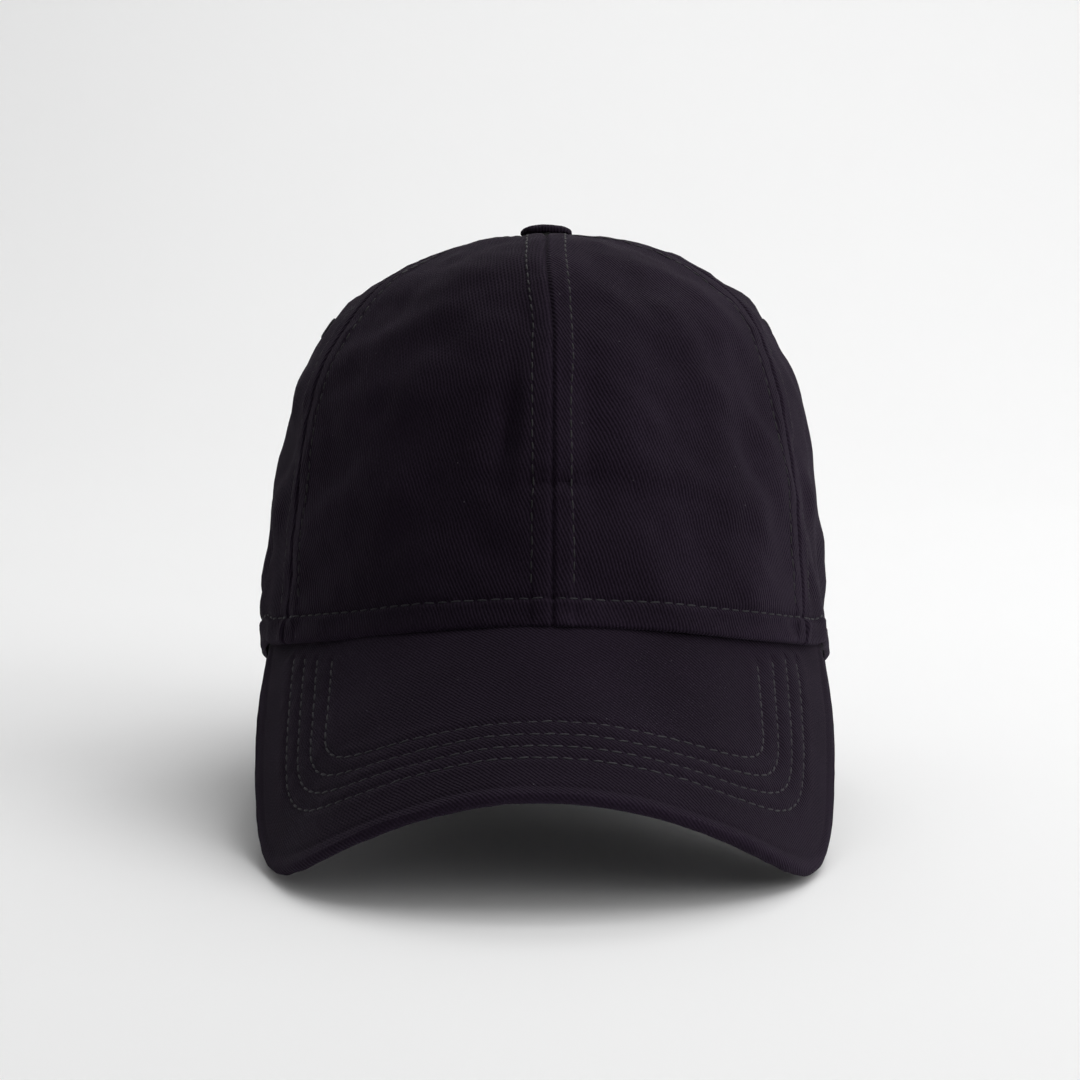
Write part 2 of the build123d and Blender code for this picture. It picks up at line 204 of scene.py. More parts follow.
def visor_seam_flat(share, inset):
    a = np.radians(VISOR_END_ANGLE * share)
    x = (HALF_WIDTH - inset) * np.sin(a)
    y = -(HALF_LENGTH - inset) * np.cos(a)
    point = stand(np.stack([x, y, SIDE_ARCH * np.abs(x / HALF_WIDTH) ** 6], -1))
    s = (point - JOIN) @ AHEAD
    r = bend_radius(s)
    return r * np.arcsin(x / r), s


def visor_edge_flat(share, inset=0.0):
    t = np.abs(share)
    reach = VISOR_LENGTH - VISOR_WIDEST - inset
    half = VISOR_FLAT_HALF_WIDTH - inset
    turn = np.radians(90 * np.clip(t / 0.8, 0, 1))
    p = half * np.sin(turn) ** (2 / VISOR_SQUARENESS)
    s = VISOR_WIDEST + reach * np.maximum(np.cos(turn), 0) ** (2 / VISOR_SQUARENESS)
    back = np.clip((t - 0.8) / 0.2, 0, 1)
    p = p - back
    s = s - (66.0 - inset) * back
    return np.sign(share) * p, s


# ------------------------------ mesh building
def normals_of(grid):
    du = np.gradient(grid, axis=0)
    dv = np.gradient(grid, axis=1)
    n = np.cross(du, dv)
    return n / np.maximum(np.linalg.norm(n, axis=-1, keepdims=True), 1e-9)


def new_object(name, verts_mm, faces, weave=None):
    mesh = bpy.data.meshes.new(name)
    mesh.from_pydata((np.asarray(verts_mm) / 1000).tolist(), [], faces)
    if weave is not None:
        attr = mesh.attributes.new("weave", "FLOAT_VECTOR", "POINT")
        attr.data.foreach_set("vector", np.asarray(weave, np.float32).ravel())
    mesh.validate()
    mesh.shade_smooth()
    mesh.set_sharp_from_angle(angle=math.radians(52))
    obj = bpy.data.objects.new(name, mesh)
    bpy.context.collection.objects.link(obj)
    return obj


def quads(nu, nv, base=0, flip=False):
    i, j = np.meshgrid(np.arange(nu - 1), np.arange(nv - 1), indexing="ij")
    a = base + i * nv + j
    f = np.stack([a, a + nv, a + nv + 1, a + 1], -1).reshape(-1, 4)
    return f[:, ::-1] if flip else f


def shell(name, outer, inner, weave, skip=None):
    """Closed thin wall between two grids of row-frame points."""
    nu, nv = outer.shape[:2]
    n = nu * nv
    front, back = quads(nu, nv), quads(nu, nv, n, True)
    if skip is not None:
        keep = ~skip.reshape(-1)
        front, back = front[keep], back[keep]
    rim = []
    for j0 in (0, nv - 1):
        a = np.arange(nu - 1) * nv + j0
        b = a + nv
        strip = np.stack([a, a + n, b + n, b], -1)
        rim.append(strip if j0 == 0 else strip[:, ::-1])
    for i0 in (0, nu - 1):
        a = i0 * nv + np.arange(nv - 1)
        b = a + 1
        strip = np.stack([a, b, b + n, a + n], -1)
        rim.append(strip if i0 == 0 else strip[:, ::-1])
    faces = np.concatenate([front, back] + rim).tolist()
    verts = np.concatenate([outer.reshape(-1, 3), inner.reshape(-1, 3)])
    w = np.concatenate([weave.reshape(-1, 3), weave.reshape(-1, 3)])
    return new_object(name, verts, faces, w)


def weave_coords(grid, angle, wear_and_highlight=None):
    """Across-wale and along-wale distances over a grid, for the cloth material."""
    du = np.linalg.norm(np.diff(grid, axis=0), axis=-1)
    u = np.concatenate([np.zeros((1, grid.shape[1])), np.cumsum(du, 0)])
    u -= u[grid.shape[0] // 2]
    dv = np.linalg.norm(np.diff(grid, axis=1), axis=-1)
    v = np.concatenate([np.zeros((grid.shape[0], 1)), np.cumsum(dv, 1)], 1)
    a = math.radians(angle)
    across = u * math.sin(a) - v * math.cos(a)
    along = u * math.cos(a) + v * math.sin(a)
    return np.stack([across, along, np.zeros_like(u) if wear_and_highlight is None else wear_and_highlight], -1)


def finish_piece(obj, material, body, slot, *nodes):
    obj.data.materials.clear()
    obj.data.materials.append(material)
    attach(obj, body)
    if nodes:
        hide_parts(*nodes)
    return obj


# ------------------------------ materials
SOCKETS = {
    "specular": "Specular IOR Level",
    "sheen": "Sheen Weight",
    "sheen_roughness": "Sheen Roughness",
    "metallic": "Metallic",
}


def node(tree, kind, **settings):
    n = tree.nodes.new(kind)
    for key, value in settings.items():
        setattr(n, key, value)
    return n


def math_node(tree, operation, a, b=None, c=None):
    n = node(tree, "ShaderNodeMath", operation=operation)
    for i, v in enumerate((a, b, c)):
        if v is None:
            continue
        if isinstance(v, (int, float)):
            n.inputs[i].default_value = v
        else:
            tree.links.new(v, n.inputs[i])
    return n.outputs[0]


def mix_colour(tree, factor, a, b):
    n = node(tree, "ShaderNodeMix", data_type="RGBA")
    for i, v in ((0, factor), (6, a), (7, b)):
        if isinstance(v, (int, float)):
            n.inputs[i].default_value = v
        elif isinstance(v, tuple):
            n.inputs[i].default_value = (*v, 1)
        else:
            tree.links.new(v, n.inputs[i])
    return n.outputs[2]


def noise_value(tree, vector, scale, detail=2.0, rough=0.5):
    n = node(tree, "ShaderNodeTexNoise")
    n.inputs["Scale"].default_value = scale
    n.inputs["Detail"].default_value = detail
    n.inputs["Roughness"].default_value = rough
    tree.links.new(vector, n.inputs["Vector"])
    return n.outputs["Fac"]


def new_material(name, roughness=0.5, **numbers):
    """Material with its tree, its shader and its object coordinates."""
    m = bpy.data.materials.new(name)
    m.use_nodes = True
    t = m.node_tree
    bsdf = t.nodes["Principled BSDF"]
    bsdf.inputs["Roughness"].default_value = roughness
    for key, value in numbers.items():
        bsdf.inputs[SOCKETS[key]].default_value = value
    return m, t, bsdf, node(t, "ShaderNodeTexCoord").outputs["Object"]


def add_bump(tree, bsdf, height, strength, distance):
    n = node(tree, "ShaderNodeBump")
    n.inputs["Strength"].default_value = strength
    n.inputs["Distance"].default_value = distance
    tree.links.new(height, n.inputs["Height"])
    tree.links.new(n.outputs[0], bsdf.inputs["Normal"])


def cloth_material(name, dark, light, sheen, wale=1.0, lint=True):
    """Twill: slanted ridges with short floats, dye variation, fuzz and lint; edges and seams lightened,
    partly as wear and partly as painted highlight, and weave ridges lightened as painted highlight.
    """
    m, t, bsdf, place = new_material(name, 0.88, specular=0.07, sheen=sheen, sheen_roughness=0.45)
    bsdf.inputs["Specular Tint"].default_value = (0.95, 0.78, 1.0, 1)
    bsdf.inputs["Sheen Tint"].default_value = (0.6, 0.48, 0.7, 1)
    weave = node(t, "ShaderNodeAttribute", attribute_name="weave").outputs["Vector"]
    xyz = node(t, "ShaderNodeSeparateXYZ")
    t.links.new(weave, xyz.inputs[0])
    across, along, wear_and_highlight = xyz.outputs
    sway = noise_value(t, weave, 0.09, 2.0)
    across = math_node(t, "MULTIPLY_ADD", sway, 1.6, across)
    ridge = math_node(t, "SINE", math_node(t, "MULTIPLY", across, 2 * math.pi / wale))
    lane = math_node(t, "FLOOR", math_node(t, "MULTIPLY", across, 1 / wale))
    step = math_node(t, "MULTIPLY_ADD", lane, 0.37, math_node(t, "MULTIPLY", along, 1 / (1.5 * wale)))
    yarn = math_node(t, "SINE", math_node(t, "MULTIPLY", step, 2 * math.pi))
    fuzz = noise_value(t, weave, 2.6, 4.0, 0.7)
    body = math_node(t, "MULTIPLY_ADD", yarn, 0.28, ridge)
    add_bump(t, bsdf, math_node(t, "MULTIPLY_ADD", fuzz, 1.5, body), 0.5, 0.00028)
    patch = noise_value(t, place, 26.0, 3.0, 0.55)
    fine = noise_value(t, weave, 0.8, 3.0, 0.65)
    # Weave ridges painted lighter than the furrows between them, a painted highlight; patch adds slow dye
    # variation.
    tone = math_node(t, "MULTIPLY_ADD", body, 0.2, math_node(t, "MULTIPLY", patch, 0.55))
    tone = math_node(t, "MULTIPLY_ADD", fine, 0.55, tone)
    # Lighter along hems, seams and the visor's rolled edge: partly wear, partly painted highlight on the
    # raised edges.
    tone = math_node(t, "MULTIPLY_ADD", wear_and_highlight, 0.45, tone)
    tone = math_node(t, "SUBTRACT", tone, 0.12)
    tone = math_node(t, "MINIMUM", math_node(t, "MAXIMUM", tone, 0.0), 1.0)
    colour = mix_colour(t, tone, dark, light)
    if lint:
        cells = node(t, "ShaderNodeTexVoronoi", feature="F1")
        cells.inputs["Scale"].default_value = 0.17
        cells.inputs["Randomness"].default_value = 1.0
        t.links.new(weave, cells.inputs["Vector"])
        speck = math_node(t, "LESS_THAN", cells.outputs["Distance"], 0.035)
        some = node(t, "ShaderNodeSeparateColor")
        t.links.new(cells.outputs["Color"], some.inputs[0])
        rare = math_node(t, "GREATER_THAN", some.outputs[0], 0.55)
        speck = math_node(t, "MULTIPLY", math_node(t, "MULTIPLY", speck, rare), 0.55)
        colour = mix_colour(t, speck, colour, (0.09, 0.085, 0.095))
    t.links.new(colour, bsdf.inputs["Base Color"])
    return m


def thread_material(name, dark, light):
    m, t, bsdf, place = new_material(name, 0.62, specular=0.3, sheen=0.05)
    tone = noise_value(t, place, 1800.0, 2.0)
    slow = noise_value(t, place, 60.0, 1.0)
    both = math_node(t, "MULTIPLY", math_node(t, "ADD", tone, slow), 0.5)
    t.links.new(mix_colour(t, both, dark, light), bsdf.inputs["Base Color"])
    add_bump(t, bsdf, tone, 0.4, 0.0001)
    return m


def metal_material(name, dark, light, rough):
    m, t, bsdf, place = new_material(name, metallic=1.0)
    blotch = noise_value(t, place, 420.0, 4.0, 0.6)
    grain = noise_value(t, place, 2600.0, 2.0)
    t.links.new(mix_colour(t, blotch, dark, light), bsdf.inputs["Base Color"])
    spread = math_node(t, "MULTIPLY_ADD", blotch, 0.25, rough)
    t.links.new(spread, bsdf.inputs["Roughness"])
    add_bump(t, bsdf, grain, 0.25, 0.00008)
    return m


def plain_material(name, dark, light, scale, detail, roughness, specular):
    """One colour with slow, faint variation."""
    m, t, bsdf, place = new_material(name, roughness, specular=specular)
    tone = noise_value(t, place, scale, detail)
    t.links.new(mix_colour(t, tone, dark, light), bsdf.inputs["Base Color"])
    return m


TWILL = cloth_material("brushed_twill", (0.0030, 0.0018, 0.0034), (0.0165, 0.0108, 0.0200), 0.05)
# Lighter copy of the same twill for the wearer's-left panels, which face the key light: painted light, not a
# different cloth.
TWILL_PAINTED_LIT = cloth_material("brushed_twill_painted_lit", (0.0038, 0.0023, 0.0043), (0.0205, 0.0136, 0.0248), 0.06)
LINING = cloth_material("lining_twill", (0.0028, 0.0023, 0.003), (0.011, 0.009, 0.012), 0.06, 0.8, False)
TAPE = cloth_material("woven_tape", (0.0026, 0.0022, 0.0028), (0.010, 0.009, 0.011), 0.05, 0.7, False)
LABEL = cloth_material("satin_label", (0.42, 0.41, 0.39), (0.66, 0.65, 0.62), 0.1, 0.35, False)
THREAD = thread_material("sewing_thread", (0.0055, 0.0045, 0.007), (0.0185, 0.0165, 0.0235))
SEAM_THREAD = thread_material("seam_thread", (0.0030, 0.0021, 0.0036), (0.0076, 0.0058, 0.0092))
BRASS = metal_material("antique_brass", (0.10, 0.065, 0.03), (0.42, 0.29, 0.13), 0.28)
STEEL = metal_material("tinned_steel", (0.30, 0.30, 0.30), (0.55, 0.55, 0.54), 0.3)
BOARD = plain_material("visor_plastic", (0.004, 0.004, 0.0045), (0.009, 0.009, 0.010), 90.0, 3.0, 0.8, 0.15)
FLOOR = plain_material("studio_floor", (0.87, 0.87, 0.87), (0.89, 0.89, 0.89), 3.0, 2.0, 0.9, 0.1)

# ------------------------------ crown relief
BIG = make_waves(3, 62.0)
MID = make_waves(8, 27.0)
SMALL = make_waves(12, 11.0)
PUCKER = make_waves(21, 7.5)
UPRIGHT = make_waves(31, 16.0, stretch=(1, 1, 3.2))

# Soft dents on the front: centre x, centre z, slant in degrees, half-length, half-width, depth
FRONT_DENTS = (
    (-11.0, 122.0, 86.0, 17.0, 2.4, 1.9),
    (-6.0, 120.0, 86.0, 18.0, 3.0, -0.7),
    (-21.0, 114.0, 78.0, 16.0, 4.5, -0.6),
    (13.0, 120.0, 92.0, 17.0, 3.0, 0.8),
    (3.0, 105.5, 4.0, 13.0, 2.0, 1.5),
    (-16.0, 104.0, -24.0, 8.0, 2.4, 0.8),
    (33.0, 101.0, -14.0, 15.0, 3.0, 0.9),
    (42.0, 92.0, -20.0, 13.0, 3.4, 0.7),
    (-38.0, 96.0, 62.0, 22.0, 4.0, 0.8),
    (-52.0, 120.0, 58.0, 20.0, 3.4, 0.9),
    (24.0, 134.0, -35.0, 16.0, 3.6, 0.8),
    (58.0, 118.0, -66.0, 22.0, 3.2, 0.9),
    (-28.0, 148.0, 30.0, 14.0, 4.0, 0.8),
)

# Broad fullness and slack: centre x, centre z, half-width, half-height, outward amount
SLACK = (
    (66.0, 149.0, 20.0, 15.0, 3.4),
    (80.0, 124.0, 16.0, 14.0, 1.5),
    (-74.0, 132.0, 20.0, 18.0, 2.1),
    (-90.0, 75.0, 14.0, 11.0, -1.7),
    (-28.0, 171.0, 26.0, 14.0, -1.9),
)


def hem_profile(d):
    """Turned and stitched edge, d millimetres from the edge."""
    roll = -1.1 * (1 - np.sqrt(np.clip(1 - ((1.3 - np.minimum(d, 1.3)) / 1.3) ** 2, 0, 1)))
    plateau = 0.70 * (1 - smooth(d, 7.0, 8.3)) + 0.45 * (1 - smooth(d, 1.5, 6.0))
    return roll + plateau - 0.42 * bell(d, HEM_STITCH, 0.6) + 0.15 * bell(d, 10.6, 1.5)


def seam_profile(d):
    """Pressed-open seam with a stitch line on each side, d millimetres from the seam."""
    plateau = 0.42 * (1 - smooth(d, 5.4, 7.0))
    return plateau - bell(d, 0, 0.75) - 0.30 * bell(d, SEAM_STITCH, 0.55)


def relief(q, n, d_seam, d_hem):
    """How far the cloth stands off its plain shape, in millimetres, at row-frame points q."""
    calm = smooth(np.minimum(d_seam, d_hem), 0, 16)
    high = smooth(q[..., 2], 150, 172)
    out = (0.6 - 0.3 * high) * ripple(q, BIG) * (0.35 + 0.65 * calm)
    out = out + 0.62 * ripple(q, MID) * (0.3 + 0.7 * calm)
    out = out + 0.2 * ripple(q, SMALL) * calm
    side = smooth(np.abs(q[..., 0]), 58, 84)
    out = out + 0.42 * ripple(q, UPRIGHT) * side * smooth(q[..., 2], 25, 70) * (1 - high)
    for x, z, wide, tall, amount in SLACK:
        out = out + amount * bell(q[..., 0], x, wide) * bell(q[..., 2], z, tall)
    facing = smooth(-n[..., 1], 0.15, 0.6)
    for x, z, slant, length, width, depth in FRONT_DENTS:
        c, s = math.cos(math.radians(slant)), math.sin(math.radians(slant))
        a = (q[..., 0] - x) * c + (q[..., 2] - z) * s
        b = -(q[..., 0] - x) * s + (q[..., 2] - z) * c
        out = out - 1.35 * depth * bell(a, 0, length) * bell(b, 0, width) * facing
    pull = bell(d_seam, 4.0, 3.5) + bell(d_hem, 5.0, 4.0)
    out = out + 0.16 * ripple(q, PUCKER) * pull
    return out + seam_profile(d_seam) + hem_profile(d_hem)


ROWS_ABOVE_HEM = 58
HEM_STEPS = [0, 0.35, 0.75, 1.3, 2.0, 2.9, 3.9, 4.9, 5.9, 6.8, 7.4, 7.9, 8.4, 9.0, 10.0, 11.5, 13.5, 16.0]


def edge_spread(width, middle=3.0):
    """Positions across a panel, close together beside its seams."""
    near = [0, 0.4, 0.8, 1.3, 1.9, 2.7, 3.6, 4.5, 5.2, 5.7, 6.2, 6.7, 7.4, 8.4, 10.0, 12.0]
    count = max(4, int((width - 24) / middle))
    centre = np.linspace(12.0, width - 12.0, count + 1)[1:-1]
    return np.concatenate([near, centre, width - np.array(near[::-1])]) / width


# Meridian where the hem leaves the visor's end, and how many degrees it takes to come down to the rim.
VISOR_END_PSI = 87.5
HEM_DROP = 9.0


def column_stop(psi, drop=True):
    """Turn at which each meridian meets the visor, the rear opening or the rim."""
    turns = np.linspace(40, 90, 1400)
    p = crown_point(psi[:, None], turns[None, :])
    q = stand(p)
    over_visor = q[..., 2] - visor_top_z(q[..., 0], q[..., 1])
    centre_angle = np.degrees(np.arctan2(np.abs(p[..., 0]) / HALF_WIDTH, -p[..., 1] / HALF_LENGTH))
    hit = (over_visor < 0.15) & (centre_angle < VISOR_END_ANGLE + 1.5)
    moon = (p[..., 0] / OPENING_HALF_W) ** 2 + (p[..., 2] / OPENING_HEIGHT) ** 2
    hit |= (p[..., 1] > 40) & (moon < 1)
    first = np.where(hit.any(1), hit.argmax(1), turns.size - 1)
    stop = turns[first]
    behind = (psi > VISOR_END_PSI) & (psi < VISOR_END_PSI + 14)
    if behind.any() and drop:
        end = column_stop(np.array([VISOR_END_PSI - 0.6]), False)[0]
        along = np.clip((psi - VISOR_END_PSI + 0.6) / HEM_DROP, 0, 1)
        stop = np.where(behind, 90 - (90 - end) * (1 - along) ** 2, stop)
    return stop


def crown_grid(columns):
    """Grid of crown-frame points: meridians by steps from the top down to the lower edge."""
    stop = column_stop(columns)
    share = np.linspace(0, 1, 500) ** 1.6
    grid, from_edge = [], []
    for line in crown_point(columns[:, None], stop[:, None] * share[None, :]):
        run = run_lengths(line)
        high = np.linspace(0, run[-1] - HEM_STEPS[-1], ROWS_ABOVE_HEM + 1)[:-1]
        s = np.concatenate([high, run[-1] - np.array(HEM_STEPS[::-1])])
        grid.append(sample(s, run, line))
        from_edge.append(run[-1] - s)
    return np.array(grid), np.array(from_edge)


# Each eyelet's meridian and turn.
EYELETS = {"eyelet_side": (104.0, 44.0), "eyelet_back": (156.0, 40.0)}


def eyelet_centre(psi, turn, side):
    return stand(crown_point(np.array(psi), np.array(turn)) * np.array([side, 1, 1]))


def panel_columns(start, end):
    """Meridians of one panel, closer together at the seams and at the rear opening's foot."""
    middle = 0.5 * (start + end)
    width = math.radians(end - start) * float(rim_radius(np.array(middle), 0.0))
    columns = start + (end - start) * edge_spread(width, 2.2 if start == FRONT_SEAM else 3.0)
    if end > 170:
        edge = 180 - math.degrees(math.atan2(OPENING_HALF_W, 90.7 - BUTTON_AXIS_Y))
        columns = np.union1d(columns, np.linspace(edge - 2.4, edge + 5.0, 22))
        columns = columns[np.concatenate([[True], np.diff(columns) > 0.12])]
        columns[-1] = end
    return columns


def crown_panel(name, side, start, end, angle):
    """Cloth of one panel between two seams; side is 1 on the wearer's left and -1 on the right."""
    columns = panel_columns(start, end)
    grid, from_edge = crown_grid(columns)
    radial = np.hypot(grid[..., 0], grid[..., 1] - BUTTON_AXIS_Y)
    gap_a = radial * np.sin(np.radians(columns - start))[:, None]
    gap_b = radial * np.sin(np.radians(end - columns))[:, None]
    d_seam = np.minimum(gap_a, gap_b)
    if side < 0:
        grid = grid * np.array([-1, 1, 1])
        grid, from_edge, d_seam = grid[::-1], from_edge[::-1], d_seam[::-1]
    q = lean(stand(grid))
    n = -normals_of(q)
    near_top = smooth(radial if side > 0 else radial[::-1], 3, 16)
    off = relief(q, n, d_seam, from_edge) * near_top
    outer = q + n * off[..., None]
    skin = 0.95 + 0.5 * (1 - smooth(from_edge, 7.0, 8.5))
    inner = outer - n * skin[..., None]
    inner = np.where((from_edge < 0.3)[..., None], outer - n * 0.5, inner)
    # Lighter at the hem edge and beside the seams: partly wear, partly painted highlight on the raised hem
    # and seam.
    wear_and_highlight = 0.55 * bell(from_edge, 0, 1.6) + 0.3 * bell(d_seam, 1.6, 0.9)
    weave = weave_coords(q, angle, wear_and_highlight)
    skip = None
    eyelet = EYELETS.get("eyelet_" + name.split("_")[0])
    if eyelet:
        hole = eyelet_centre(*eyelet, side)
        middle = 0.25 * (outer[1:, 1:] + outer[:-1, 1:] + outer[1:, :-1] + outer[:-1, :-1])
        skip = np.linalg.norm(middle - hole, axis=-1) < EYELET_HOLE_R
    obj = shell(name + "_cloth", outer, inner, weave, skip)
    # Panels on the wearer's left take the lighter twill copy: painted light on the side toward the key.
    finish_piece(obj, TWILL_PAINTED_LIT if side > 0 else TWILL, "cap", "crown_twill", name)
    return outer, from_edge


PANELS = []
for label, start, end, angle_left, angle_right, flat, area in (
    ("front_panel", 0.0, FRONT_SEAM, 70.0, 68.0, (0.112, 0.172), 0.0132),
    ("side_panel", FRONT_SEAM, REAR_SEAM, 52.0, 96.0, (0.108, 0.190), 0.0152),
    ("back_panel", REAR_SEAM, 180.0, 70.0, 108.0, (0.106, 0.205), 0.0146),
):
    for word, side, angle in (("left", 1, angle_left), ("right", -1, angle_right)):
        PANELS.append(crown_panel(label + "_" + word, side, start, end, angle))


def surface_tree(grids):
    """Search tree over the faces of several grids."""
    verts, faces, base = [], [], 0
    for g in grids:
        verts.append(g.reshape(-1, 3))
        faces.append(quads(g.shape[0], g.shape[1], base))
        base += g.shape[0] * g.shape[1]
    return BVHTree.FromPolygons(np.concatenate(verts).tolist(), np.concatenate(faces).tolist())


def snap(tree, points, away):
    """Nearest surface points and unit normals, the normals turned to the side of away."""
    place, face = [], []
    for p, w in zip(points, away):
        hit, n, _, _ = tree.find_nearest(Vector(p))
        n = np.array(n)
        place.append(np.array(hit))
        face.append(n if n @ w > 0 else -n)
    return np.array(place), np.array(face)


# ------------------------------ stitches
def ring_faces(rings, around):
    """Quads between closed rings of points."""
    i, j = np.meshgrid(np.arange(rings - 1) * around, np.arange(around), indexing="ij")
    k = (j + 1) % around
    return np.stack([i + j, i + k, i + around + k, i + around + j], -1).reshape(-1, 4).tolist()


def stitch_form(length, width, height):
    """One stitch along X, lying on the XY plane, with its ends sunk."""
    rows, around = 5, 8
    th = np.linspace(0, math.pi, rows + 2)[1:-1]
    ph = np.linspace(0, 2 * math.pi, around, endpoint=False)
    full = np.sin(th) ** 0.55
    x = -np.cos(th)[:, None] * length / 2 + 0 * ph
    y = full[:, None] * np.cos(ph) * width / 2
    z = full[:, None] * np.sin(ph) * height / 2 + (np.sin(th)[:, None] - 1) * 0.12
    pts = np.stack([x, y, z], -1).reshape(-1, 3)
    pts = np.concatenate([pts, [[-length / 2, 0, -0.1], [length / 2, 0, -0.1]]])
    faces = ring_faces(rows, around)
    tip_a, tip_b = rows * around, rows * around + 1
    for j in range(around):
        k = (j + 1) % around
        faces.append([tip_a, k, j])
        faces.append([tip_b, (rows - 1) * around + j, (rows - 1) * around + k])
    return pts, faces


def stitch_rows(name, rows, slot, seed, pitch=4.0, size=(3.1, 0.62, 0.46), body="cap", material=THREAD):
    """One mesh of many stitches along rows of (points, normals) in row-frame millimetres."""
    rng = np.random.default_rng(seed)
    half = size[0] / 2
    form, form_faces = stitch_form(*size)
    verts, faces, count = [], [], 0
    for points, normals in rows:
        run = run_lengths(points)
        mids = np.arange(pitch * 0.6, run[-1] - pitch * 0.5, pitch)
        mids = mids + rng.uniform(-0.22, 0.22, mids.size)
        a, b = sample(mids - half, run, points), sample(mids + half, run, points)
        n = unit(sample(mids, run, normals))
        t = unit(b - a)
        slant = rng.normal(0, 0.05, (mids.size, 1)) + 0.05
        t = unit(t + np.cross(n, t) * slant)
        side = unit(np.cross(n, t))
        n = np.cross(t, side)
        centre = 0.25 * a + 0.25 * b + 0.5 * sample(mids, run, points)
        f = form[None] * rng.uniform(0.92, 1.06, (mids.size, 1, 1))
        axes = (t, side, n)
        pts = centre[:, None] + sum(f[..., k : k + 1] * axes[k][:, None] for k in range(3))
        for block in pts:
            verts.append(block)
            faces.extend([[i + count for i in face] for face in form_faces])
            count += len(form)
    finish_piece(new_object(name, np.concatenate(verts), faces), material, body, slot)


CROWN_TREE = surface_tree([outer for outer, _ in PANELS])
CROWN_CORE = stand([0, -10, 50])


def crown_rows():
    """Stitch rows on both sides of every crown seam, stopped above the hem's row."""
    rows = []
    for seam in (0.0, FRONT_SEAM, REAR_SEAM, 180.0, -FRONT_SEAM, -REAR_SEAM):
        for off in (-SEAM_STITCH, SEAM_STITCH):
            turn = np.concatenate([np.linspace(2.5, 12, 14), np.linspace(13, 90, 110)])
            base = crown_point(np.full_like(turn, abs(seam)), turn)
            radial = np.hypot(base[:, 0], base[:, 1] - BUTTON_AXIS_Y)
            keep = radial > 10.5
            psi = seam + np.degrees(np.arcsin(np.clip(off / radial[keep], -1, 1)))
            p = crown_point(psi, turn[keep])
            end = crown_point(psi[-1:], column_stop(np.abs(psi)[-1:]))[0]
            clear = p[:, 2] > end[2] + 9.5
            if seam == 180.0:
                clear = (p[:, 0] / (OPENING_HALF_W + 8)) ** 2 + (p[:, 2] / (OPENING_HEIGHT + 8)) ** 2 > 1
            q = lean(stand(p[clear]))
            rows.append(snap(CROWN_TREE, q, q - CROWN_CORE))
    return rows


def hem_rows():
    rows = []
    for outer, from_edge in PANELS:
        line = np.array([sample(HEM_STITCH, d[::-1], g[::-1]) for g, d in zip(outer, from_edge)])
        run = run_lengths(line)
        line = sample(np.arange(0, run[-1], 1.2), run, line)
        rows.append(snap(CROWN_TREE, line, line - CROWN_CORE))
    return rows


SHORT_STITCH = (2.8, 0.62, 0.46)
stitch_rows("crown_seam_stitching", crown_rows(), "crown_twill", 5, 3.6, SHORT_STITCH, material=SEAM_THREAD)
stitch_rows("crown_hem_stitching", hem_rows(), "crown_twill", 6)

# ------------------------------ visor
ROW_INSETS = (16.6, 21.8, 27.2, 33.0)
VISOR_SHARES = np.linspace(-1, 1, 225)


def visor_outline(inset, count):
    return np.stack(visor_edge_flat(np.linspace(-1, 1, count), inset), -1)


def row_line(inset):
    """Flat-pattern stitch row, parallel to the outer edge and stopped short of the crown."""
    line = visor_outline(inset, 900)
    seam = np.stack(visor_seam_flat(np.linspace(-1, 1, 600), 0.0), -1)
    gap = np.linalg.norm(line[:, None] - seam[None], axis=-1).min(1)
    ahead = line[:, 1] > np.interp(line[:, 0], seam[:, 0], seam[:, 1])
    return line[(gap > 2.0) & ahead]


def distance_to(points, line):
    """Distance from each flat-pattern point to a line, worked in blocks to save memory."""
    flat = points.reshape(-1, 2)
    out = np.full(len(flat), 1e9)
    for k in range(0, len(line), 60):
        part = line[k : k + 60]
        out = np.minimum(out, np.linalg.norm(flat[:, None] - part[None], axis=-1).min(1))
    return out.reshape(points.shape[:-1])


VISOR_WAVE = make_waves(41, 30.0)
VISOR_FINE = make_waves(43, 6.0)


def visor_relief(flat, q, strength):
    """Waves, rolled edge, stitch grooves and the quilting between them; also the distance to the edge."""
    edge = distance_to(flat, visor_outline(0.0, 500))
    out = 0.16 * ripple(q, VISOR_WAVE) + 0.25 * bell(edge, 1.8, 1.5) - 0.2 * bell(edge, 4.4, 0.9)
    near = np.full(edge.shape, 99.0)
    for inset in ROW_INSETS:
        near = np.minimum(near, distance_to(flat, row_line(inset)))
    out = out - 0.42 * strength * bell(near, 0, 0.75)
    out = out + bell(near, 2.6, 1.8) * (0.14 + 0.07 * ripple(q, VISOR_FINE)) * strength
    return np.maximum(out, -0.5), edge


def close_tips(outer, n_all, wear_and_highlight, up_all, level):
    """Rows that bring a cover's two narrow ends round to the middle of the visor's thickness."""
    turns = np.radians([90, 72, 48, 24])
    height = ((outer - level) * up_all).sum(-1, keepdims=True)
    ends = []
    for e, inward in ((0, 1), (-1, -2)):
        tip = outer[e] - outer[inward]
        tip = unit((tip - (tip * up_all[e]).sum(-1, keepdims=True) * up_all[e]).mean(0))
        flat = outer[e] - height[e] * up_all[e]
        rise, reach = height[e] * up_all[e], np.abs(height[e]) * tip
        rows = [flat + rise * math.cos(t) + reach * math.sin(t) for t in turns]
        normals = [n_all[e] * math.cos(t) + tip * math.sin(t) for t in turns]
        ends.append((np.array(rows), np.array(normals)))
    outer = np.concatenate([ends[0][0], outer, ends[1][0][::-1]])
    n_all = np.concatenate([ends[0][1], n_all, ends[1][1][::-1]])
    tip_wear_and_highlight = np.full((len(turns), wear_and_highlight.shape[1]), 0.4)
    return outer, n_all, np.concatenate([tip_wear_and_highlight, wear_and_highlight, tip_wear_and_highlight])


